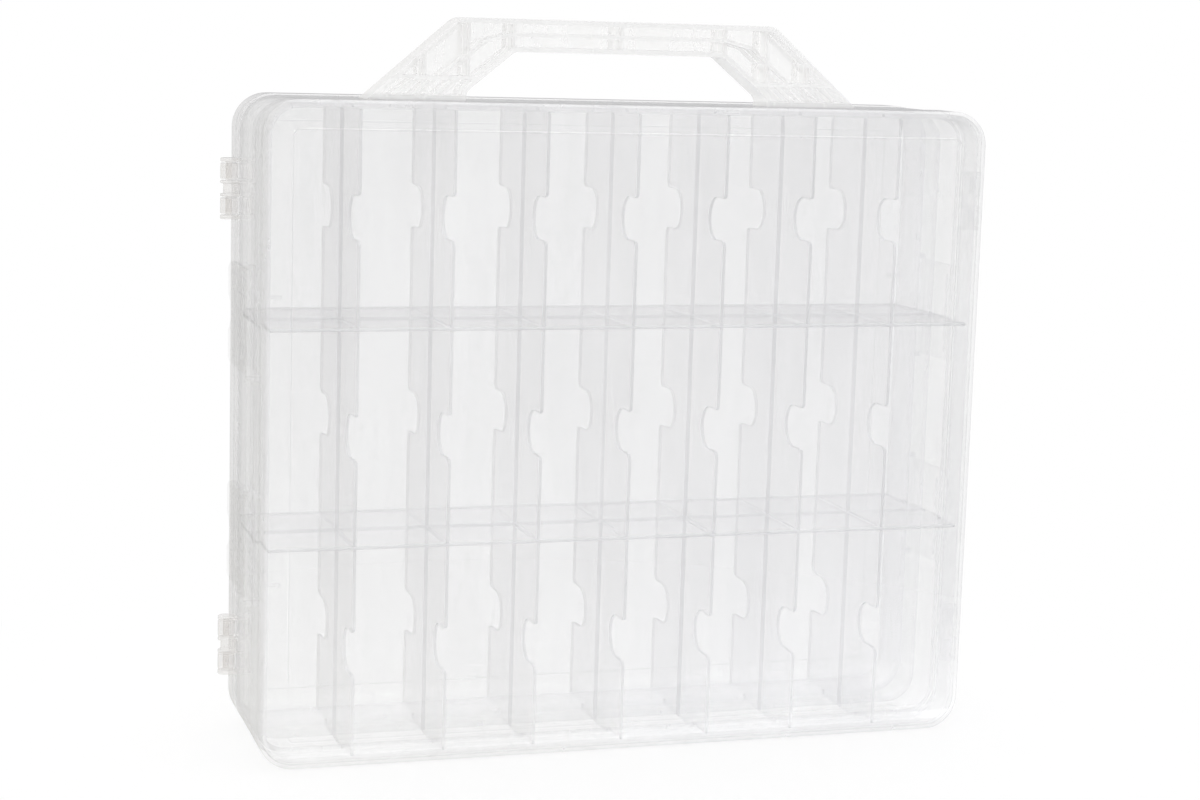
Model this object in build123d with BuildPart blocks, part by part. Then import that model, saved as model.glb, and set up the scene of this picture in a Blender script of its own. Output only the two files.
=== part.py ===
from build123d import *
import os

# A clear double-sided case for thread and bobbins: one core with compartments on both faces,
# a shallow lid on each face, and a carry handle on top.
# X runs across the width, Y from the front lid to the rear lid, and Z up.
# The origin is the centre of the underside. All sizes are in millimetres.
# The core is one moulding in use. Here each wall, shelf and partition is its own solid.
# The case looks the same after half a turn about Z, so rear pieces are turned front pieces.

os.makedirs("parts", exist_ok=True)

# Body
body_width = 320.0
body_height = 280.0
body_depth = 84.0
corner_radius = 15.0
wall = 1.6
plate = 1.4
half_turn = (0, 0, 180)

# Core: a belt shows between the lids, and a narrower rim stands inside each lid
belt_half = 21.0
rim_reach = 38.0
rim_width = 316.0
rim_height = 276.0
rim_radius = 13.0
rim_middle_z = 140.5

# Compartments
columns = 8
column_pitch = 40.0
shelf_offset = 46.0
notch_width = 18.5
notch_depth = 19.5
notch_mouth_radius = 2.5

# Lids
lid_overhang = 0.5
lid_gap = 0.3
lid_wall = 1.5
lid_edge_radius = 2.5
panel_inset = 11.4
panel_sink = 0.5
panel_radius = 5.0
side_rib_z = 60.0
side_rib_length = 7.0
side_rib_depth = 2.0

# Hinges, with their axis in the gap between belt and lid
hinge_z = 100.0
hinge_standoff = 4.4
hinge_radius = 3.6
hinge_half = 13.0
outer_ear = 1.6
inner_ear_near = 2.2
inner_ear_far = 3.4
hub_radius = 2.4
knuckle_gap = 0.7
pin_radius = 1.3
pin_clearance = 0.06
side_clearance = 0.3

# Latches
latch_z = 47.5
latch_half = 22.0
latch_radius = 1.9
latch_setback = 3.2
latch_plate = 2.0
latch_reach = 17.5
latch_flare = 1.2
latch_flare_length = 4.4
latch_inset = 0.8
latch_corner_radius = 4.0
latch_pin_radius = 0.9
latch_ear = 2.0
grip_ribs = 6
grip_rib_pitch = 7.0
grip_rib = 0.8
grip_rib_margin = 5.0
scoop_radius = 11.0
scoop_depth = 3.0
catch_height = 0.7
catch_width = 1.6
catch_y = 8.8
catch_length = 36.0
lip_flank = 1.0

# Handle
handle_depth = 17.0
handle_foot_outer = 111.2
handle_foot_inner = 68.5
handle_foot_rise = 3.6
handle_top_outer = 70.9
handle_top_inner = 47.3
handle_top = 35.0
grip_underside = 21.0
handle_shoulder_radius = 8.0
grip_corner_radius = 4.0
handle_foot_radius = 5.0
handle_flange = 2.2
handle_web = 1.8
handle_rib = 1.6
tie_height = 9.5
grip_line = 28.3
tie_inner = 60.0
upright_xs = [48.0, 67.8, 87.0]
brace_xs = [(101.3, 88.6), (92.2, 81.3), (82.8, 71.8)]
long_brace = [(79.0, tie_height), (60.3, 25.3), (48.0, grip_line), (0, grip_line)]

middle_z = body_height / 2
belt_inner_width = body_width - 2 * wall
belt_inner_height = body_height - 2 * wall
belt_inner_radius = corner_radius - wall
belt_inner_half = belt_half - wall
rim_inner_width = rim_width - 2 * wall
rim_inner_height = rim_height - 2 * wall
rim_inner_radius = rim_radius - wall
floor_half = wall / 2
shelf_zs = [middle_z - shelf_offset, middle_z + shelf_offset]
row_zs = [middle_z - 2 * shelf_offset, middle_z, middle_z + 2 * shelf_offset]
divider_xs = [column_pitch * (i - columns / 2) for i in range(1, columns)]
hinge_zs = {"lower": middle_z - hinge_z, "upper": middle_z + hinge_z}
latch_zs = {"lower": middle_z - latch_z, "upper": middle_z + latch_z}
lid_width = body_width + 2 * lid_overhang
lid_middle_z = middle_z + lid_overhang
lid_open_half = belt_half + lid_gap
lid_depth = body_depth / 2 - lid_open_half
lid_side_x = lid_width / 2

# Core belt: the band between the two lids
with BuildPart() as core_belt:
    with BuildSketch(Plane.XZ):
        with Locations((0, middle_z)):
            RectangleRounded(body_width, body_height, corner_radius)
            RectangleRounded(
                belt_inner_width, belt_inner_height, belt_inner_radius, mode=Mode.SUBTRACT
            )
    extrude(amount=belt_half, both=True)
core_belt.part.label = "core_belt"
export_step(core_belt.part, "parts/core_belt.step")

# Catch ridges on the belt, one under each latch: the front latches are on the left side,
# and the rear latches on the right
for face, turn in (("front", (0, 0, 0)), ("rear", half_turn)):
    with BuildPart() as front_catches:
        for z in latch_zs.values():
            with Locations((-(body_width + catch_height) / 2, catch_y, z)):
                Box(catch_height, catch_width, catch_length)
    with BuildPart() as catches:
        add(front_catches.part, rotation=turn)
    catches.part.label = f"{face}_latch_catches"
    export_step(catches.part, f"parts/{face}_latch_catches.step")

# Rims: each steps in from the edge of the belt and stands inside a lid
for face, turn in (("front", (0, 0, 0)), ("rear", half_turn)):
    with BuildPart() as front_rim:
        with BuildSketch(Plane.XZ.offset(belt_inner_half)):
            with Locations((0, middle_z)):
                RectangleRounded(belt_inner_width, belt_inner_height, belt_inner_radius)
            with Locations((0, rim_middle_z)):
                RectangleRounded(
                    rim_inner_width, rim_inner_height, rim_inner_radius, mode=Mode.SUBTRACT
                )
        extrude(amount=wall)
        with BuildSketch(Plane.XZ.offset(belt_half)):
            with Locations((0, rim_middle_z)):
                RectangleRounded(rim_width, rim_height, rim_radius)
                RectangleRounded(
                    rim_inner_width, rim_inner_height, rim_inner_radius, mode=Mode.SUBTRACT
                )
        extrude(amount=rim_reach - belt_half)
    with BuildPart() as rim:
        add(front_rim.part, rotation=turn)
    rim.part.label = f"{face}_rim"
    export_step(rim.part, f"parts/{face}_rim.step")

# Centre floor: the sheet in the middle that both faces share
with BuildPart() as centre_floor:
    with BuildSketch(Plane.XZ):
        with Locations((0, middle_z)):
            RectangleRounded(belt_inner_width, belt_inner_height, belt_inner_radius)
    extrude(amount=floor_half, both=True)
centre_floor.part.label = "centre_floor"
export_step(centre_floor.part, "parts/centre_floor.step")

# Shelves: two on each face, wider where they meet the belt than inside the lid
for face, turn in (("front", (0, 0, 0)), ("rear", half_turn)):
    for level, z in zip(("lower", "upper"), shelf_zs):
        with BuildPart() as front_shelf:
            with BuildSketch(Plane.XY.offset(z - plate / 2)):
                with Locations((0, -(belt_inner_half + floor_half) / 2)):
                    Rectangle(belt_inner_width, belt_inner_half - floor_half)
                with Locations((0, -(rim_reach + belt_inner_half) / 2)):
                    Rectangle(rim_inner_width, rim_reach - belt_inner_half)
            extrude(amount=plate)
        with BuildPart() as shelf:
            add(front_shelf.part, rotation=turn)
        shelf.part.label = f"{face}_shelf_{level}"
        export_step(shelf.part, f"parts/{face}_shelf_{level}.step")

# Dividers: three plates in line, one for each row, with a finger notch in each free edge
for face, turn in (("front", (0, 0, 0)), ("rear", half_turn)):
    for number, x in enumerate(divider_xs, start=1):
        with BuildPart() as front_divider:
            with BuildSketch(Plane.YZ.offset(x - plate / 2)) as outline:
                with Locations((-(belt_inner_half + floor_half) / 2, middle_z)):
                    Rectangle(belt_inner_half - floor_half, belt_inner_height)
                with Locations((-(rim_reach + belt_inner_half) / 2, rim_middle_z)):
                    Rectangle(rim_reach - belt_inner_half, rim_inner_height)
                with Locations(*[(-rim_reach / 2, z) for z in shelf_zs]):
                    Rectangle(rim_reach + wall, plate, mode=Mode.SUBTRACT)
                straight = notch_depth - notch_width / 2
                with Locations(*[(straight / 2 - rim_reach, z) for z in row_zs]):
                    Rectangle(straight, notch_width, mode=Mode.SUBTRACT)
                with Locations(*[(straight - rim_reach, z) for z in row_zs]):
                    Circle(notch_width / 2, mode=Mode.SUBTRACT)
                free_edge = outline.vertices().group_by(Axis.X)[0].sort_by(Axis.Y)
                # a plate has two corners of its own on its free edge, and two at the notch
                mouths = [v for i, v in enumerate(free_edge) if i % 4 in (1, 2)]
                fillet(mouths, notch_mouth_radius)
            extrude(amount=plate)
        with BuildPart() as divider:
            add(front_divider.part, rotation=turn)
        divider.part.label = f"{face}_divider_{number}"
        export_step(divider.part, f"parts/{face}_divider_{number}.step")

# Carry handle: flanges round a thin web, with ribs in the grip and in the feet. It is made
# whole, then divided into the grip and two legs at the outer face of the grip's end uprights.
handle_base = Plane(origin=(0, 0, body_height), x_dir=(1, 0, 0), z_dir=(0, -1, 0))
half_outline = [
    (0, handle_top),
    (handle_top_outer, handle_top),
    (handle_foot_outer, 0),
    (handle_foot_inner, 0),
    (handle_foot_inner, handle_foot_rise),
    (handle_top_inner, grip_underside),
    (0, grip_underside),
]
with BuildSketch(mode=Mode.PRIVATE) as handle_outline:
    with BuildLine():
        Polyline(*half_outline, close=True)
    make_face()
    mirror(about=Plane.YZ)
    for height, radius in (
        (handle_top, handle_shoulder_radius),
        (grip_underside, grip_corner_radius),
        (handle_foot_rise, handle_foot_radius),
    ):
        corners = handle_outline.vertices().filter_by(lambda v: abs(v.Y - height) < 0.01)
        fillet(corners, radius)
with BuildSketch(mode=Mode.PRIVATE) as handle_pockets:
    offset(handle_outline.sketch.faces(), amount=-handle_flange)
    for side in (-1, 1):
        # a tie across each leg with uprights above it
        with Locations((side * (handle_foot_outer + tie_inner) / 2, tie_height)):
            Rectangle(handle_foot_outer - tie_inner, handle_rib, mode=Mode.SUBTRACT)
        for x in upright_xs:
            with Locations((side * x, (tie_height + handle_top) / 2)):
                Rectangle(handle_rib, handle_top - tie_height, mode=Mode.SUBTRACT)
        # sloping braces below the tie, and the long brace that runs on into the grip
        for low_x, high_x in brace_xs:
            with BuildLine():
                Line((side * low_x, 0), (side * high_x, tie_height))
            trace(line_width=handle_rib, mode=Mode.SUBTRACT)
        with BuildLine():
            Polyline(*[(side * x, z) for x, z in long_brace])
        trace(line_width=handle_rib, mode=Mode.SUBTRACT)
    with Locations((0, handle_top / 2)):
        Rectangle(handle_rib, handle_top, mode=Mode.SUBTRACT)
with BuildPart() as carry_handle:
    with BuildSketch(handle_base):
        add(handle_outline.sketch)
    extrude(amount=handle_depth / 2, both=True)
    for facing in (1, -1):
        with BuildSketch(handle_base.offset(facing * handle_web / 2)):
            add(handle_pockets.sketch)
        extrude(amount=facing * (handle_depth - handle_web) / 2, mode=Mode.SUBTRACT)
grip_end = upright_xs[0] + handle_rib / 2
leg_width = handle_foot_outer - grip_end
for piece_name, middle_x, width in (
    ("handle_left_leg", -grip_end - leg_width / 2, leg_width),
    ("handle_grip", 0, 2 * grip_end),
    ("handle_right_leg", grip_end + leg_width / 2, leg_width),
):
    with BuildPart() as handle_piece:
        add(carry_handle.part)
        with Locations((middle_x, 0, body_height + handle_top / 2)):
            Box(width, handle_depth, handle_top, mode=Mode.INTERSECT)
    handle_piece.part.label = piece_name
    export_step(handle_piece.part, f"parts/{piece_name}.step")

# Hinge brackets on the core: four ears, a narrower hub between the inner two, and the pin
# through them all. The front lid turns on the right side, and the rear lid on the left.
hinge_x = body_width / 2 + hinge_standoff
hinge_y = -(belt_half + lid_gap / 2)
bracket_spans = [
    (hinge_half - outer_ear, hinge_half, hinge_radius),
    (inner_ear_near, inner_ear_far, hinge_radius),
    (0, inner_ear_near, hub_radius),
]
for face, turn in (("front", (0, 0, 0)), ("rear", half_turn)):
    for level, z in hinge_zs.items():
        with BuildPart() as front_bracket:
            with Locations((hinge_x, hinge_y, z)):
                Cylinder(pin_radius, 2 * hinge_half)
            for low, high, radius in bracket_spans:
                for middle in (z + (low + high) / 2, z - (low + high) / 2):
                    with BuildSketch(Plane.XY.offset(middle - (high - low) / 2)):
                        with Locations((hinge_x, hinge_y)):
                            Circle(radius)
                        with Locations((hinge_x - hinge_standoff / 2, hinge_y + radius / 2)):
                            Rectangle(hinge_standoff, radius)
                    extrude(amount=high - low)
        with BuildPart() as bracket:
            add(front_bracket.part, rotation=turn)
        bracket.part.label = f"{face}_hinge_bracket_{level}"
        export_step(bracket.part, f"parts/{face}_hinge_bracket_{level}.step")

# Lids: each is one shallow tray, with hinge knuckles on one side and latch ears on the other.
# The tray is made whole, then divided into its panel and its wall.
latch_x = -(lid_side_x + side_clearance + latch_radius)
latch_y = -(lid_open_half + latch_setback - side_clearance)
knuckle_low = inner_ear_far + knuckle_gap
knuckle_high = hinge_half - outer_ear - knuckle_gap
with BuildPart() as lid_tray:
    with BuildSketch(Plane.XZ.offset(lid_open_half)):
        with Locations((0, lid_middle_z)):
            RectangleRounded(lid_width, body_height, corner_radius + lid_overhang)
    extrude(amount=lid_depth)
    fillet(lid_tray.faces().sort_by(Axis.Y)[0].edges(), lid_edge_radius)
    with BuildSketch(Plane.XZ.offset(lid_open_half)):
        with Locations((0, lid_middle_z)):
            RectangleRounded(
                lid_width - 2 * lid_wall,
                body_height - 2 * lid_wall,
                corner_radius + lid_overhang - lid_wall,
            )
    extrude(amount=lid_depth - wall, mode=Mode.SUBTRACT)
    with BuildSketch(Plane.XZ.offset(body_depth / 2)):
        with Locations((0, lid_middle_z)):
            RectangleRounded(
                lid_width - 2 * panel_inset, body_height - 2 * panel_inset, panel_radius
            )
    extrude(amount=-panel_sink, mode=Mode.SUBTRACT)

panel_back = Plane.XZ.offset(body_depth / 2 - wall)
with BuildPart() as lid_panel:
    add(lid_tray.part)
    split(bisect_by=panel_back, keep=Keep.TOP)

# short ribs inside the latch side, where the panel meets the wall
with BuildPart() as lid_side_ribs:
    with BuildSketch(panel_back):
        for z in (middle_z - side_rib_z, middle_z + side_rib_z):
            with Locations((-lid_side_x + lid_wall + side_rib_length / 2, z)):
                Rectangle(side_rib_length, plate)
    extrude(amount=-side_rib_depth)

with BuildPart() as lid_wall_ring:
    add(lid_tray.part)
    split(bisect_by=panel_back, keep=Keep.BOTTOM)

# two knuckles between each bracket's ears
with BuildPart() as lid_knuckles:
    for z in hinge_zs.values():
        for middle in (
            z + (knuckle_low + knuckle_high) / 2,
            z - (knuckle_low + knuckle_high) / 2,
        ):
            with BuildSketch(Plane.XY.offset(middle - (knuckle_high - knuckle_low) / 2)):
                with Locations((hinge_x, hinge_y)):
                    Circle(hinge_radius)
                with Locations(
                    (
                        (hinge_x + lid_side_x) / 2,
                        (hinge_y - hinge_radius - lid_open_half) / 2,
                    )
                ):
                    Rectangle(hinge_x - lid_side_x, hinge_radius - lid_gap / 2)
                with Locations((hinge_x, hinge_y)):
                    Circle(pin_radius + pin_clearance, mode=Mode.SUBTRACT)
            extrude(amount=knuckle_high - knuckle_low)

# one ear at each end of each latch
with BuildPart() as lid_latch_ears:
    for z in latch_zs.values():
        for low in (z + latch_half + side_clearance, z - latch_half - side_clearance - latch_ear):
            with BuildSketch(Plane.XY.offset(low)):
                with Locations((latch_x, latch_y)):
                    Circle(latch_radius)
                with Locations(((latch_x - lid_side_x) / 2, latch_y)):
                    Rectangle(-latch_x - lid_side_x, 2 * latch_radius)
                with Locations((latch_x, latch_y)):
                    Circle(latch_pin_radius + pin_clearance, mode=Mode.SUBTRACT)
            extrude(amount=latch_ear)

lid_pieces = {
    "panel": lid_panel,
    "wall": lid_wall_ring,
    "side_ribs": lid_side_ribs,
    "knuckles": lid_knuckles,
    "latch_ears": lid_latch_ears,
}
for face, turn in (("front", (0, 0, 0)), ("rear", half_turn)):
    for piece_name, front_piece in lid_pieces.items():
        with BuildPart() as lid_piece:
            add(front_piece.part, rotation=turn)
        lid_piece.part.label = f"{face}_lid_{piece_name}"
        export_step(lid_piece.part, f"parts/{face}_lid_{piece_name}.step")

# Latches: a ribbed plate across the belt, with pin stubs that turn in the lid's ears
plate_outer_x = latch_x - latch_radius + latch_inset
plate_inner_x = plate_outer_x + latch_plate
lip_x = -(body_width / 2 + catch_height + side_clearance)
lip_y = catch_y + catch_width / 2 + side_clearance + catch_width
rib_near_y = latch_y + latch_radius
rib_far_y = latch_reach - scoop_depth - grip_rib_margin
latch_profile = [
    (latch_x, latch_y),
    (plate_outer_x, latch_y + latch_radius),
    (plate_outer_x, latch_reach - latch_flare_length),
    (plate_outer_x - latch_flare, latch_reach),
    (plate_outer_x - latch_flare + latch_plate, latch_reach),
    (plate_inner_x, lip_y + lip_flank),
    (lip_x, lip_y),
    (lip_x, lip_y - catch_width),
    (plate_inner_x, lip_y - catch_width - lip_flank),
    (plate_inner_x, latch_y),
]
for face, turn in (("front", (0, 0, 0)), ("rear", half_turn)):
    for level, z in latch_zs.items():
        with BuildPart() as front_latch:
            with BuildSketch(Plane.XY.offset(z - latch_half)):
                with BuildLine():
                    Polyline(*latch_profile, close=True)
                make_face()
                with Locations((latch_x, latch_y)):
                    Circle(latch_radius)
            extrude(amount=2 * latch_half)
            # the free end has round corners and a shallow scoop for the thumb
            tip_edges = (
                front_latch.edges()
                .filter_by(lambda e: abs(e.center().Y - latch_reach) < 0.01)
                .filter_by(Axis.X)
            )
            fillet(tip_edges, latch_corner_radius)
            with BuildSketch(Plane.YZ.offset(plate_outer_x)):
                with Locations((latch_reach - scoop_depth + scoop_radius, z)):
                    Circle(scoop_radius)
            extrude(amount=2 * latch_plate, both=True, mode=Mode.SUBTRACT)
            for i in range(grip_ribs):
                rib_z = z + grip_rib_pitch * (i - (grip_ribs - 1) / 2)
                with Locations((plate_outer_x, (rib_near_y + rib_far_y) / 2, rib_z)):
                    Box(grip_rib, rib_far_y - rib_near_y, grip_rib)
            with Locations((latch_x, latch_y, z)):
                Cylinder(latch_pin_radius, 2 * (latch_half + side_clearance + latch_ear))
        with BuildPart() as latch:
            add(front_latch.part, rotation=turn)
        latch.part.label = f"{face}_latch_{level}"
        export_step(latch.part, f"parts/{face}_latch_{level}.step")
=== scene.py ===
from math import cos, pi, radians, sin
import bmesh
import bpy
from mathutils import Matrix, Vector


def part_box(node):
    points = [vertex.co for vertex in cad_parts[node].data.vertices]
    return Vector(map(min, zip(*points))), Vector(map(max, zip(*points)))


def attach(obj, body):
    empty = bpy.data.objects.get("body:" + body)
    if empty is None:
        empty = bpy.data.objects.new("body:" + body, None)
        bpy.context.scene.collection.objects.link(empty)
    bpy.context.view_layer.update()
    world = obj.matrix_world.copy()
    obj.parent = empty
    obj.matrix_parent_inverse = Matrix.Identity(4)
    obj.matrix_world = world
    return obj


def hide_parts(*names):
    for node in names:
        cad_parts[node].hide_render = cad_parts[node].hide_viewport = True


# A clear double-sided case for thread and bobbins. Metres, +Z up, front lid towards -Y.
# The core and the lids are lofted here as whole mouldings, and the handle is joined from its CAD
# nodes. Each other piece is one CAD node with rounded edges. The rear lid is the front lid after
# half a turn about Z.

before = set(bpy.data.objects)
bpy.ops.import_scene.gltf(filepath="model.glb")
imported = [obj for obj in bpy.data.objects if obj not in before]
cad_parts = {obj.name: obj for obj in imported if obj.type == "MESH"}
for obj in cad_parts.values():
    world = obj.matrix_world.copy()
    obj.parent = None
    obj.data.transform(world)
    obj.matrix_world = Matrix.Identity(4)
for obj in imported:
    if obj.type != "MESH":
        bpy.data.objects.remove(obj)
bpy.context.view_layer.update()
scene = bpy.context.scene

MM = 0.001
TURNS = {"front": Matrix.Identity(4), "rear": Matrix.Rotation(pi, 4, "Z")}

# the order of materials on a piece
SHEET, EDGE, GLINT, FOOT_SHADE = 0, 1, 2, 3


# ---------------------------------------------------------------- materials

PLASTIC_IOR = 1.49
LIGHT_PASSED = 0.92  # the share that passes of the lamp light which milk and gloss would stop
MILK_ROUGHNESS = 0.6
RIPPLE_DEPTH = 0.4 * MM
GRAIN_DEPTH = 0.15 * MM


def new_material(name):
    mat = bpy.data.materials.new(name)
    mat.use_nodes = True
    nodes = mat.node_tree.nodes
    nodes.clear()
    return mat, nodes, mat.node_tree.links


def maths(nodes, links, operation, first, second):
    node = nodes.new("ShaderNodeMath")
    node.operation = operation
    for socket, value in zip(node.inputs, (first, second)):
        if isinstance(value, (int, float)):
            socket.default_value = value
        else:
            links.new(value, socket)
    return node.outputs[0]


def noise(nodes, links, place, scale, detail, upright=1.0):
    """Noise with scale features a metre, drawn out along Z where upright is under 1."""
    fit = nodes.new("ShaderNodeMapping")
    fit.inputs["Scale"].default_value = (1, 1, upright)
    links.new(place, fit.inputs["Vector"])
    node = nodes.new("ShaderNodeTexNoise")
    node.inputs["Scale"].default_value = scale
    node.inputs["Detail"].default_value = detail
    links.new(fit.outputs[0], node.inputs["Vector"])
    return node.outputs["Fac"]


def spread(nodes, links, value, low, high, from_low=0.3, from_high=0.7):
    """Maps a value onto low to high. Noise lies mostly between 0.3 and 0.7."""
    node = nodes.new("ShaderNodeMapRange")
    node.inputs["From Min"].default_value = from_low
    node.inputs["From Max"].default_value = from_high
    node.inputs["To Min"].default_value = low
    node.inputs["To Max"].default_value = high
    links.new(value, node.inputs["Value"])
    return node.outputs["Result"]


def mix_shaders(nodes, links, share, first, second):
    node = nodes.new("ShaderNodeMixShader")
    links.new(share, node.inputs["Fac"])
    links.new(first, node.inputs[1])
    links.new(second, node.inputs[2])
    return node.outputs[0]


def mix_tones(nodes, links, share, first, second):
    node = nodes.new("ShaderNodeMix")
    node.data_type = "RGBA"
    node.inputs["A"].default_value = (*first, 1)
    node.inputs["B"].default_value = (*second, 1)
    links.new(share, node.inputs["Factor"])
    return node.outputs["Result"]


def bumped(nodes, links, height, strength, depth, skin=None):
    node = nodes.new("ShaderNodeBump")
    node.inputs["Strength"].default_value = strength
    node.inputs["Distance"].default_value = depth
    links.new(height, node.inputs["Height"])
    if skin is not None:
        links.new(skin, node.inputs["Normal"])
    return node.outputs["Normal"]


def milky_body(nodes, links, place, scuffs, to_lamp, dark, pale, haze):
    """A see-through sheet with clouds of milk, upright flow streaks and whiter scuffs."""
    clouds = noise(nodes, links, place, scale=18.0, detail=5.0)
    streaks = noise(nodes, links, place, scale=45.0, detail=3.0, upright=0.15)
    milk = nodes.new("ShaderNodeBsdfPrincipled")
    milk.inputs["Roughness"].default_value = MILK_ROUGHNESS
    milk.inputs["Specular IOR Level"].default_value = 0.0
    cloudy = spread(nodes, links, clouds, 0.0, 1.0)
    links.new(mix_tones(nodes, links, cloudy, dark, pale), milk.inputs["Base Color"])
    flow = spread(nodes, links, streaks, 0.8 * haze, 1.2 * haze)
    worn = spread(nodes, links, scuffs, 0.0, 0.25 * haze, from_low=0.62, from_high=0.75)
    share = maths(nodes, links, "MULTIPLY", maths(nodes, links, "ADD", flow, worn), to_lamp)
    clear = nodes.new("ShaderNodeBsdfTransparent")
    return mix_shaders(nodes, links, share, clear.outputs[0], milk.outputs[0])


def clear_plastic(name, dark, pale, haze, roughness, wave, grain):
    """Clear polypropylene: a see-through sheet with a faintly milky body and a glossy skin.

    haze is the milky share of one face. The milk lets lamps through, because light that it
    scatters still reaches what is behind it. The gloss is on the outside of each face only.
    wave and grain are the strengths of the skin's slow ripple and of its fine frosting.
    """
    mat, nodes, links = new_material(name)
    place = nodes.new("ShaderNodeTexCoord").outputs["Object"]
    waves = noise(nodes, links, place, scale=25.0, detail=1.0, upright=0.3)
    scuffs = noise(nodes, links, place, scale=420.0, detail=2.0, upright=0.3)
    path = nodes.new("ShaderNodeLightPath")
    stopped = maths(nodes, links, "MULTIPLY", path.outputs["Is Shadow Ray"], LIGHT_PASSED)
    to_lamp = maths(nodes, links, "SUBTRACT", 1.0, stopped)
    body = milky_body(nodes, links, place, scuffs, to_lamp, dark, pale, haze)

    skin = bumped(nodes, links, waves, wave, RIPPLE_DEPTH)
    if grain:
        frosting = noise(nodes, links, place, scale=1400.0, detail=2.0)
        skin = bumped(nodes, links, frosting, grain, GRAIN_DEPTH, skin)
    gloss = nodes.new("ShaderNodeBsdfGlossy")
    rubbed = spread(nodes, links, scuffs, 0.8 * roughness, 1.5 * roughness)
    links.new(rubbed, gloss.inputs["Roughness"])
    links.new(skin, gloss.inputs["Normal"])
    fresnel = nodes.new("ShaderNodeFresnel")
    fresnel.inputs["IOR"].default_value = PLASTIC_IOR
    links.new(skin, fresnel.inputs["Normal"])
    inside = nodes.new("ShaderNodeNewGeometry").outputs["Backfacing"]
    outside = maths(nodes, links, "SUBTRACT", fresnel.outputs[0], inside)
    outside.node.use_clamp = True
    mirror = maths(nodes, links, "MULTIPLY", outside, to_lamp)
    out = nodes.new("ShaderNodeOutputMaterial")
    links.new(mix_shaders(nodes, links, mirror, body, gloss.outputs[0]), out.inputs["Surface"])
    return mat


# dark tone, pale tone, haze, roughness, wave, grain
LOOKS = {
    "core_sheet": ((0.80, 0.803, 0.812), (0.88, 0.883, 0.89), 0.165, 0.10, 0.15, 0),
    "core_edge": ((0.80, 0.803, 0.815), (0.90, 0.903, 0.912), 0.24, 0.06, 0.15, 0),
    "lid_sheet": ((0.81, 0.812, 0.816), (0.885, 0.887, 0.89), 0.125, 0.07, 0.15, 0),
    "lid_edge": ((0.79, 0.793, 0.80), (0.90, 0.902, 0.908), 0.24, 0.05, 0.15, 0),
    # the slope's clearer, paler plastic is a painted highlight; its gloss adds the strip lamp's real
    # reflection
    "lid_glint": ((0.95, 0.95, 0.95), (0.98, 0.98, 0.98), 0.03, 0.02, 0, 0),
    # a darker, milkier copy of the lid's plastic for the band at the foot of the panel's slope:
    # painted shade
    "lid_foot_shade": ((0.68, 0.682, 0.69), (0.76, 0.762, 0.77), 0.30, 0.05, 0.15, 0),
    # plates' edge faces: milkier because the eye looks through more plastic there, and darker in
    # tone, which is painted shade for the dark edge lines
    "plate_shaded_edge": ((0.62, 0.625, 0.64), (0.71, 0.715, 0.73), 0.48, 0.04, 0.15, 0),
    "handle_sheet": ((0.88, 0.88, 0.875), (0.94, 0.94, 0.935), 0.24, 0.45, 0.02, 0.02),
    "handle_edge": ((0.85, 0.85, 0.845), (0.92, 0.92, 0.915), 0.32, 0.40, 0.02, 0.01),
    # the rear hinge's plastic: darker and warmer than the thin_hinge plastic of the same front-hinge
    # parts, painted shade of the dim, warm side of the case
    "hinge_sheet": ((0.70, 0.685, 0.670), (0.82, 0.805, 0.790), 0.28, 0.10, 0.15, 0),
    "hinge_edge": ((0.68, 0.670, 0.660), (0.82, 0.810, 0.800), 0.45, 0.08, 0.15, 0),
    "thin_hinge_sheet": ((0.80, 0.80, 0.80), (0.88, 0.88, 0.88), 0.10, 0.10, 0.15, 0),
    "thin_hinge_edge": ((0.78, 0.78, 0.78), (0.87, 0.87, 0.87), 0.16, 0.08, 0.15, 0),
    "latch_sheet": ((0.82, 0.82, 0.815), (0.88, 0.88, 0.875), 0.03, 0.12, 0.02, 0),
    "latch_edge": ((0.78, 0.78, 0.775), (0.87, 0.87, 0.865), 0.07, 0.10, 0.02, 0),
}
plastics = {name: clear_plastic(name, *look) for name, look in LOOKS.items()}


# ---------------------------------------------------------------- mesh helpers

SMOOTH_UP_TO = radians(50)
SHARP_FROM = radians(30)
FLAT_WITHIN = radians(0.5)
WELD_WITHIN = 0.005 * MM
CORNER_STEPS = 12
BIG_ARC = 1.0 * MM
BIG_ARC_STEPS = 7
SMALL_ARC_STEPS = 3


def finish_piece(name, mesh, looks, body, replaced):
    mesh.name = name
    mesh.shade_smooth()
    mesh.set_sharp_from_angle(angle=SMOOTH_UP_TO)
    for look in looks:
        mesh.materials.append(plastics[look])
    piece = bpy.data.objects.new(name, mesh)
    scene.collection.objects.link(piece)
    even = piece.modifiers.new("even", "WEIGHTED_NORMAL")
    even.keep_sharp = True
    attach(piece, body)
    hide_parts(*replaced)
    return piece


def rounded_loop(width, height, radius, y, middle_z):
    """Points round a rounded rectangle at one y, starting on the right and going over the top."""
    points = []
    for side_x, side_z, start in ((1, 1, 0), (-1, 1, 90), (-1, -1, 180), (1, -1, 270)):
        centre = Vector((side_x * (width / 2 - radius), y, middle_z + side_z * (height / 2 - radius)))
        for i in range(CORNER_STEPS + 1):
            angle = radians(start + 90 * i / CORNER_STEPS)
            points.append(centre + radius * Vector((cos(angle), 0, sin(angle))))
    return points


def loft(bm, rings):
    """A capped skin through rings of (points, material of the band that starts there)."""
    rows = [[bm.verts.new(p) for p in points] for points, band in rings]
    bands = [band for points, band in rings]
    count = len(rows[0])
    for low, high, band in zip(rows, rows[1:], bands):
        for i in range(count):
            j = (i + 1) % count
            bm.faces.new((low[i], low[j], high[j], high[i])).material_index = band
    bm.faces.new(list(reversed(rows[0]))).material_index = SHEET
    bm.faces.new(rows[-1]).material_index = SHEET


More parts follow.
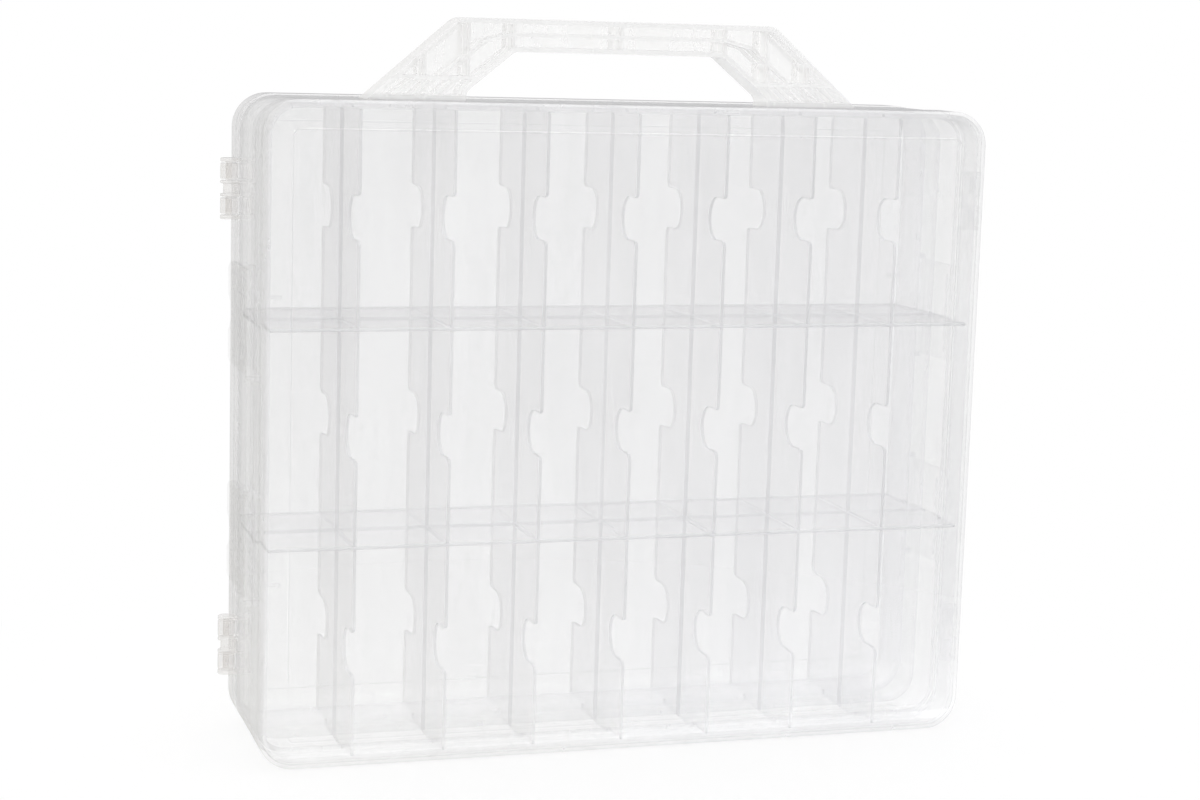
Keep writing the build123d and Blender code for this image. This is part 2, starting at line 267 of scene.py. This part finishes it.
def rounded_section(corners):
    """Rows of (inset, y, band) for a wall's section given as corners of (inset, y, radius, band).

    Each corner but the first and last becomes an arc. Its band is that of the flat after it.
    """
    rows = [(corners[0][0], corners[0][1], corners[0][3])]
    for before, here, after in zip(corners, corners[1:], corners[2:]):
        corner, radius, band = Vector(here[:2]), here[2], here[3]
        start = corner + radius * (Vector(before[:2]) - corner).normalized()
        end = corner + radius * (Vector(after[:2]) - corner).normalized()
        pull = (start - end).length / (2 * radius)
        steps = BIG_ARC_STEPS if radius > BIG_ARC else SMALL_ARC_STEPS
        for i in range(steps + 1):
            t = i / steps
            weights = ((1 - t) ** 2, 2 * pull * t * (1 - t), t ** 2)
            point = (weights[0] * start + weights[1] * corner + weights[2] * end) / sum(weights)
            rows.append((point.x, point.y, band if i == steps else EDGE))
    rows.append((corners[-1][0], corners[-1][1], corners[-1][3]))
    return rows


def mesh_from(bm):
    bmesh.ops.recalc_face_normals(bm, faces=bm.faces)
    mesh = bpy.data.meshes.new("piece")
    bm.to_mesh(mesh)
    bm.free()
    return mesh


# ---------------------------------------------------------------- core shell

floor_low, floor_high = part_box("centre_floor")
core_low, core_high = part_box("core_belt")
middle_z = (core_high.z + core_low.z) / 2
body_width = core_high.x - core_low.x
body_height = core_high.z - core_low.z
belt_half = core_high.y
rim_reach = -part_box("front_rim")[0].y
floor_half = floor_high.y
WALL = floor_low.x - core_low.x
FLAT_MARGIN = 3 * MM  # flat ring between a wall's root and the cap that closes a loft
CORNER = 15 * MM
LEAST_CORNER = 3 * MM
RIM_INSET = 2.0 * MM
RIM_RISE = 0.5 * MM
ROOT = 1.0 * MM
STEP = 0.6 * MM
INNER_STEP = 0.5 * MM
SOFT = 0.35 * MM


def core_shell():
    """The belt, both rims and the floor between the two faces, as one moulding."""
    rim_inside = RIM_INSET + WALL
    shoulder = belt_half - WALL
    section = rounded_section((
        (WALL + FLAT_MARGIN, -floor_half, 0, EDGE),
        (WALL, -floor_half, ROOT, SHEET),
        (WALL, -shoulder, STEP, EDGE),
        (rim_inside, -shoulder, INNER_STEP, SHEET),
        (rim_inside, -rim_reach, SOFT, EDGE),
        (RIM_INSET, -rim_reach, SOFT, SHEET),
        (RIM_INSET, -belt_half, STEP, EDGE),
        (0, -belt_half, SOFT, SHEET),
        (0, 0, 0, SHEET),
    ))[:-1]
    front = []
    for inset, y, band in section:
        rise = RIM_RISE if inset > WALL and -y > shoulder else 0.0
        width, height = body_width - 2 * inset, body_height - 2 * inset
        ring = rounded_loop(width, height, max(CORNER - inset, LEAST_CORNER), y, middle_z + rise)
        front.append((ring, band))
    rear_bands = reversed([EDGE] + [band for ring, band in front[:-1]])
    rear_rings = [[Vector((p.x, -p.y, p.z)) for p in ring] for ring, band in reversed(front)]
    bm = bmesh.new()
    loft(bm, front + list(zip(rear_rings, rear_bands)))
    finish_piece(
        "core_shell", mesh_from(bm), ("core_sheet", "core_edge"), "core",
        ("core_belt", "front_rim", "rear_rim", "centre_floor"),
    )


core_shell()


# ---------------------------------------------------------------- lids

def lid_shell(face):
    """A shallow tray with a rolled edge and a panel that sinks a little inside its border.

    The panel's slope is the bright line round it: its clearer, paler plastic is a painted highlight,
    beside the gloss's real reflection of the strip lamp. A narrow darker band at its foot is
    painted shade.
    """
    low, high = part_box("front_lid_wall")
    mouth, outside = high.y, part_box("front_lid_panel")[0].y
    wall, draft, rolled = 1.5 * MM, 0.15 * MM, 2.5 * MM
    border, sink, slope = 11.4 * MM, 0.5 * MM, 0.55 * MM
    crease, foot = 0.12 * MM, 0.45 * MM
    back = outside + WALL
    section = rounded_section((
        # the flat band at the slope's foot takes the darker material: painted shade
        (border + slope + foot, outside + sink, 0, FOOT_SHADE),
        (border + slope, outside + sink, crease, GLINT),
        (border, outside, crease, SHEET),
        (draft, outside, rolled, SHEET),
        (0, mouth, SOFT, EDGE),
        (wall, mouth, SOFT, SHEET),
        (wall + draft, back, ROOT, SHEET),
        (wall + FLAT_MARGIN, back, 0, SHEET),
    ))
    rings = []
    for inset, y, band in section:
        width, height = high.x - low.x - 2 * inset, high.z - low.z - 2 * inset
        radius = max(CORNER - inset, LEAST_CORNER)
        rings.append((rounded_loop(width, height, radius, y, (low.z + high.z) / 2), band))
    bm = bmesh.new()
    loft(bm, rings)
    bm.transform(TURNS[face])
    finish_piece(
        f"{face}_lid_shell", mesh_from(bm), ("lid_sheet", "lid_edge", "lid_glint", "lid_foot_shade"),
        f"{face}_lid", (f"{face}_lid_wall", f"{face}_lid_panel"),
    )


for face in ("front", "rear"):
    lid_shell(face)


# ---------------------------------------------------------------- pieces with rounded edges

def clean(bm):
    bmesh.ops.remove_doubles(bm, verts=bm.verts, dist=WELD_WITHIN)
    bmesh.ops.dissolve_limit(bm, angle_limit=FLAT_WITHIN, verts=bm.verts, edges=bm.edges)


def node_mesh(node):
    bm = bmesh.new()
    bm.from_mesh(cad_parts[node].data)
    clean(bm)
    return bm


def soften(bm, width, segments, keep=lambda edge: False):
    """Rounds each sharp edge, apart from those that keep says yes to, which meet another piece."""
    sharp = [
        e for e in bm.edges
        if e.is_manifold and e.calc_face_angle(0) > SHARP_FROM and not keep(e)
    ]
    bmesh.ops.bevel(
        bm, geom=sharp, offset=width, segments=segments, affect="EDGES", profile=0.5,
        clamp_overlap=True, material=EDGE,
    )


def mark_edges(bm, is_edge):
    for face in bm.faces:
        if is_edge(face):
            face.material_index = EDGE


def plates():
    """Shelves and dividers: thin plates with rounded free edges.

    An edge is free at the rim's mouth, and next to a narrow face that looks along Y and isn't on
    the centre floor, as round a finger notch.
    """
    rounding, segments = 0.6 * MM, 4
    mouth = rim_reach - 0.05 * MM
    off_floor = 3 * MM
    least_slant = 0.05
    names = [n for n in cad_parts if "_divider_" in n or "_shelf_" in n]
    for name in sorted(names):
        across = 0 if "divider" in name else 2

        def narrow(face):
            return abs(face.normal[across]) < 0.7

        def looks_out(face):
            return abs(face.normal.y) > least_slant and abs(face.calc_center_median().y) > off_floor

        def meets_wall(edge):
            middle = (edge.verts[0].co + edge.verts[1].co) / 2
            beside = any(narrow(f) and looks_out(f) for f in edge.link_faces)
            return not (abs(middle.y) > mouth or beside)

        bm = node_mesh(name)
        mark_edges(bm, narrow)
        soften(bm, rounding, segments, meets_wall)
        face, kind, number = name.split("_")
        # the rounded free edges take the darker edge material: painted shade, with real extra milk
        finish_piece(
            f"{face}_{kind}_plate_{number}", mesh_from(bm), ("core_sheet", "plate_shaded_edge"),
            "core", (name,),
        )


plates()


def handle():
    """The three nodes of the handle, joined, with a brighter skin on the flanges' faces."""
    rounding, near_face, near_foot = 0.35 * MM, 0.1 * MM, 0.05 * MM
    nodes = [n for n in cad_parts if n.startswith("handle_")]
    parts = []
    for name in nodes:
        part = bpy.data.objects.new("part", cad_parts[name].data.copy())
        scene.collection.objects.link(part)
        bm = node_mesh(name)
        bm.to_mesh(part.data)
        bm.free()
        parts.append(part)
    whole, others = parts[0], parts[1:]
    for other in others:
        join = whole.modifiers.new("join", "BOOLEAN")
        join.operation = "UNION"
        join.solver = "EXACT"
        join.object = other
    bpy.context.view_layer.update()
    depsgraph = bpy.context.evaluated_depsgraph_get()
    mesh = bpy.data.meshes.new_from_object(whole.evaluated_get(depsgraph))
    for part in parts:
        bpy.data.objects.remove(part)
    mesh.materials.clear()
    bm = bmesh.new()
    bm.from_mesh(mesh)
    clean(bm)
    for face in bm.faces:
        face.material_index = SHEET
    depth = max(v.co.y for v in bm.verts)
    foot = min(v.co.z for v in bm.verts)

    def on_flange(face):
        return abs(face.normal.y) > 0.7 and abs(face.calc_center_median().y) > depth - near_face

    def stands_on_core(edge):
        return max(v.co.z for v in edge.verts) < foot + near_foot

    mark_edges(bm, on_flange)
    soften(bm, rounding, 2, stands_on_core)
    looks = ("handle_sheet", "handle_edge")
    finish_piece("carry_handle", mesh_from(bm), looks, "core", nodes)


handle()


def rounded_copy(node, piece, width, segments, looks, body):
    bm = node_mesh(node)
    soften(bm, width, segments)
    finish_piece(piece, mesh_from(bm), looks, body, (node,))


def fittings(face, hinge):
    """One face's hinge brackets, latches, knuckles, latch ears, side ribs and latch catches."""
    lid = f"{face}_lid"
    thin_hinge = ("thin_hinge_sheet", "thin_hinge_edge")
    fine, bracket, knuckle = 0.25 * MM, 0.4 * MM, 0.7 * MM
    for level in ("lower", "upper"):
        rounded_copy(
            f"{face}_hinge_bracket_{level}", f"{face}_hinge_ears_{level}", bracket, 3, hinge,
            "core",
        )
        latch = f"{face}_latch_{level}"
        rounded_copy(
            latch, f"{face}_latch_plate_{level}", fine, 2, ("latch_sheet", "latch_edge"),
            latch,
        )
    rounded_copy(f"{lid}_knuckles", f"{lid}_knuckles_round", knuckle, 3, hinge, lid)
    rounded_copy(f"{lid}_latch_ears", f"{lid}_latch_ears_round", fine, 3, thin_hinge, lid)
    rounded_copy(
        f"{lid}_side_ribs", f"{lid}_side_ribs_round", fine, 2, ("lid_sheet", "lid_edge"), lid,
    )
    rounded_copy(
        f"{face}_latch_catches", f"{face}_latch_catches_round", fine, 2, ("core_sheet", "core_edge"),
        "core",
    )


fittings("front", ("thin_hinge_sheet", "thin_hinge_edge"))
# the rear hinge takes the darker, warmer copy of the hinge plastic: painted shade
fittings("rear", ("hinge_sheet", "hinge_edge"))


# ---------------------------------------------------------------- stage, lights and camera

FLOOR_RADIUS = 12.0
FLOOR_PAINT = (0.93, 0.93, 0.93, 1)
LEFT_TONE = (0.70, 0.69, 0.665)
RIGHT_TONE = (0.68, 0.68, 0.705)
CEILING_STRENGTH = 0.65
LENS = 72.43
CAMERA_PLACE = (-0.3267, -1.0096, 0.3127)
CAMERA_FORWARD = (0.3025, 0.9408, -0.1527)
CAMERA_UP = (0.0182, 0.1545, 0.9878)


def side_tone(nodes, links, direction):
    """The colour of the studio's sides in a direction, warm on the left and cool on the right.

    The second thing returned is the direction's height.
    """
    along = nodes.new("ShaderNodeSeparateXYZ")
    links.new(direction, along.inputs[0])
    share = spread(nodes, links, along.outputs["X"], 0.0, 1.0, from_low=-0.8, from_high=0.8)
    return mix_tones(nodes, links, share, LEFT_TONE, RIGHT_TONE), along.outputs["Z"]


def seen_or_around(nodes, links, seen, around):
    """The first shader for rays straight from the camera, and the second for all other rays."""
    path = nodes.new("ShaderNodeLightPath")
    return mix_shaders(nodes, links, path.outputs["Is Camera Ray"], around, seen)


def vector_maths(nodes, links, operation, place):
    node = nodes.new("ShaderNodeVectorMath")
    node.operation = operation
    links.new(place, node.inputs[0])
    return node.outputs["Value" if operation == "LENGTH" else "Vector"]


def floor():
    """A pale floor whose paint fades outwards into a glow.

    The camera sees the glow as white, and the plastic mirrors it at the brightness of the studio's
    sides, so that reflections have no line where the floor ends.
    """
    bm = bmesh.new()
    bmesh.ops.create_circle(bm, cap_ends=True, segments=96, radius=FLOOR_RADIUS)
    mesh = bpy.data.meshes.new("floor")
    bm.to_mesh(mesh)
    bm.free()
    ground = bpy.data.objects.new("floor", mesh)
    scene.collection.objects.link(ground)
    mat, nodes, links = new_material("floor_paint")
    paint = nodes.new("ShaderNodeBsdfPrincipled")
    paint.inputs["Base Color"].default_value = FLOOR_PAINT
    paint.inputs["Roughness"].default_value = 0.9
    place = nodes.new("ShaderNodeTexCoord").outputs["Object"]
    outward = vector_maths(nodes, links, "NORMALIZE", place)
    white = nodes.new("ShaderNodeEmission")
    around = nodes.new("ShaderNodeEmission")
    links.new(side_tone(nodes, links, outward)[0], around.inputs["Color"])
    glow = seen_or_around(nodes, links, white.outputs[0], around.outputs[0])
    away = vector_maths(nodes, links, "LENGTH", place)
    fade = spread(nodes, links, away, 0.7, 1.0, from_low=0.10, from_high=0.34)
    fade.node.interpolation_type = "SMOOTHSTEP"
    out = nodes.new("ShaderNodeOutputMaterial")
    links.new(mix_shaders(nodes, links, fade, paint.outputs[0], glow), out.inputs["Surface"])
    mesh.materials.append(mat)


def studio():
    """White where the camera sees it, and grey sides under a brighter ceiling for all else."""
    world = bpy.data.worlds.new("studio")
    world.use_nodes = True
    scene.world = world
    nodes, links = world.node_tree.nodes, world.node_tree.links
    nodes.clear()
    seen = nodes.new("ShaderNodeBackground")
    seen.inputs["Color"].default_value = (1, 1, 1, 1)
    tone, height = side_tone(nodes, links, nodes.new("ShaderNodeTexCoord").outputs["Generated"])
    sides = nodes.new("ShaderNodeBackground")
    links.new(tone, sides.inputs["Color"])
    ceiling = nodes.new("ShaderNodeBackground")
    ceiling.inputs["Color"].default_value = (1, 1, 1, 1)
    overhead = spread(nodes, links, height, 0.0, CEILING_STRENGTH, from_low=0.1, from_high=0.9)
    links.new(overhead, ceiling.inputs["Strength"])
    both = nodes.new("ShaderNodeAddShader")
    links.new(sides.outputs[0], both.inputs[0])
    links.new(ceiling.outputs[0], both.inputs[1])
    out = nodes.new("ShaderNodeOutputWorld")
    links.new(seen_or_around(nodes, links, seen.outputs[0], both.outputs[0]), out.inputs["Surface"])


def softbox(name, place, size, power, tint):
    """A rectangular lamp that faces the middle of the case."""
    data = bpy.data.lights.new(name, "AREA")
    data.color = tint
    data.shape = "RECTANGLE"
    data.size, data.size_y = size
    data.energy = power
    lamp = bpy.data.objects.new(name, data)
    lamp.location = place
    aim = Vector((0, 0, middle_z)) - Vector(place)
    lamp.rotation_euler = aim.to_track_quat("-Z", "Y").to_euler()
    scene.collection.objects.link(lamp)
    return lamp


def photographer():
    data = bpy.data.cameras.new("camera")
    data.lens = LENS
    data.sensor_width = 36.0
    camera = bpy.data.objects.new("camera", data)
    scene.collection.objects.link(camera)
    scene.camera = camera
    forward = Vector(CAMERA_FORWARD).normalized()
    right = forward.cross(Vector(CAMERA_UP)).normalized()
    upright = right.cross(forward)
    turn = Matrix((right, upright, -forward)).transposed().to_4x4()
    camera.matrix_world = Matrix.Translation(CAMERA_PLACE) @ turn


floor()
studio()
softbox("key", (-1.2, -1.0, 0.9), (0.5, 0.5), 0.08, (1.0, 0.985, 0.955))
softbox("fill", (1.4, -0.8, 0.7), (0.5, 0.8), 0.08, (0.97, 0.985, 1.0))
softbox("back", (0.3, 1.5, 1.0), (1.2, 0.5), 0.15, (1.0, 1.0, 1.0))

# a narrow lamp on the floor in front of the case, turned to shine straight up past the front lid
strip = softbox("strip", (0.05, -0.06, 0.002), (0.45, 0.012), 0.035, (1.0, 1.0, 1.0))
strip.rotation_euler = (pi, 0, 0)
strip.visible_camera = False
photographer()
scene.view_settings.view_transform = "Standard"
scene.cycles.transparent_max_bounces = 96
scene.cycles.max_bounces = 24
scene.cycles.glossy_bounces = 12
